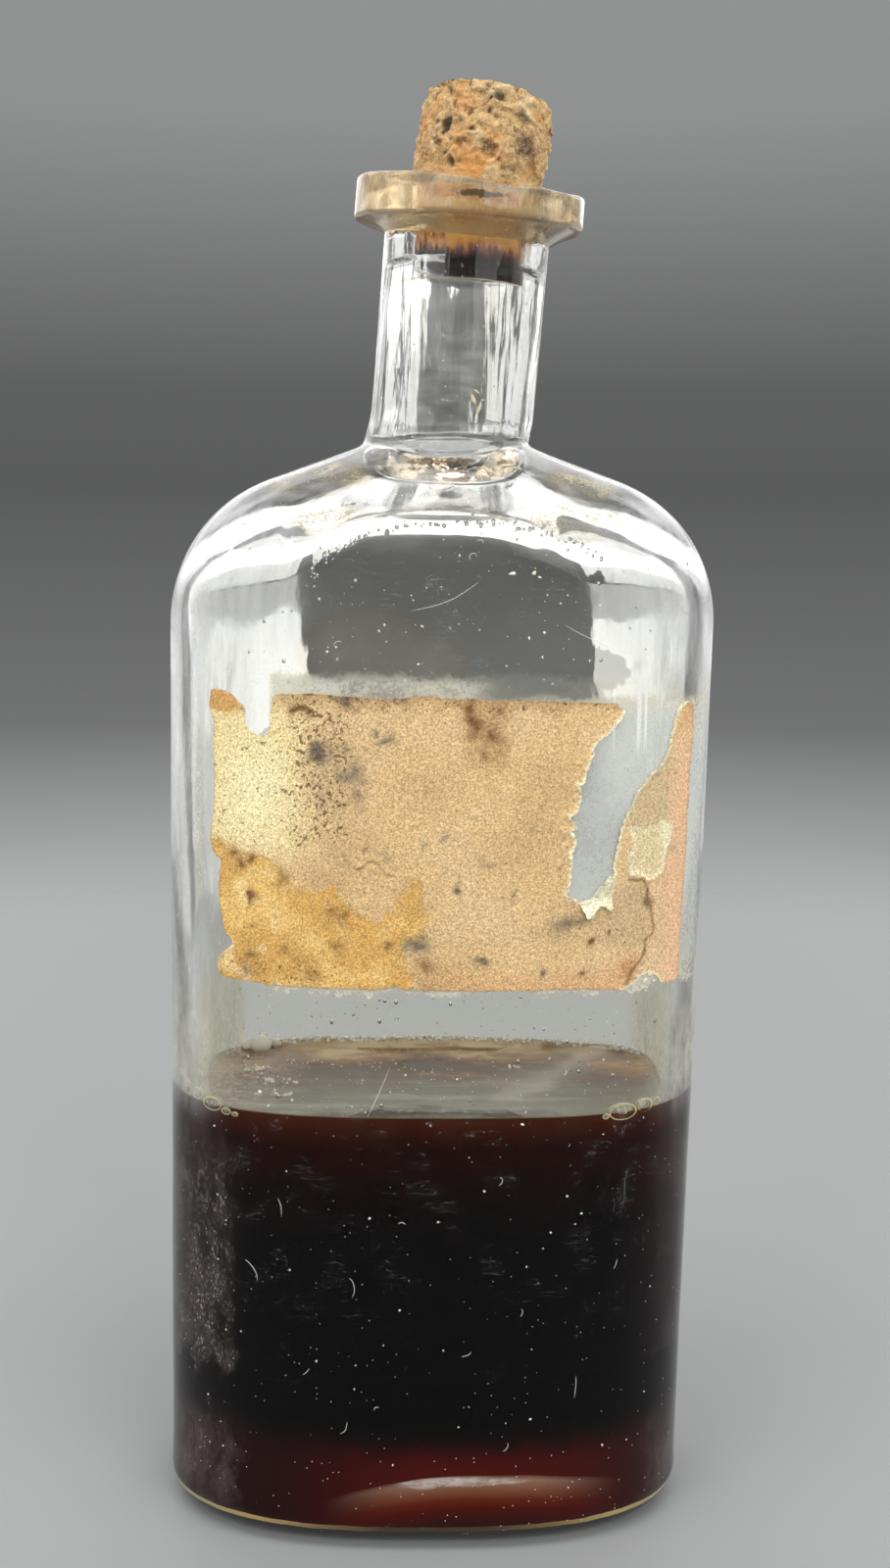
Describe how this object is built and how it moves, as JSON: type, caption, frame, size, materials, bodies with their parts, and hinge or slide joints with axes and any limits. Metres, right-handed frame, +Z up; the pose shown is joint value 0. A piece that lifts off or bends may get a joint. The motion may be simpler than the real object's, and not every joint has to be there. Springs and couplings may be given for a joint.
{
  "type": "apothecary bottle",
  "caption": "Flat-oval blown glass apothecary bottle with a leaning neck, tooled flange lip, pull-out tapered cork, torn blank paper label and dark liquid inside.",
  "frame": {"origin": "middle of the footprint on the surface that the bottle stands on, under the middle of the body", "axes": "+Z up; +X to the right of someone who looks at the label, along the body's width; +Y away from them, so the label faces -Y"},
  "size_m": [0.0746, 0.0409, 0.1929],
  "materials": {
    "clear_glass": "gloss",
    "cork": "matte",
    "aged_paper": "matte",
    "dark_liquid": "gloss"
  },
  "bodies": {
    "bottle": {"glass_bottle": "clear_glass", "paper_label": "aged_paper", "liquid": "dark_liquid"},
    "cork": {"cork_stopper": "cork"}
  },
  "joints": [
    {"name": "cork_pull", "type": "slide", "parent": "bottle", "child": "cork", "axis": [0.1513, 0, 0.9885], "range_m": [0, 0.016]}
  ]
}
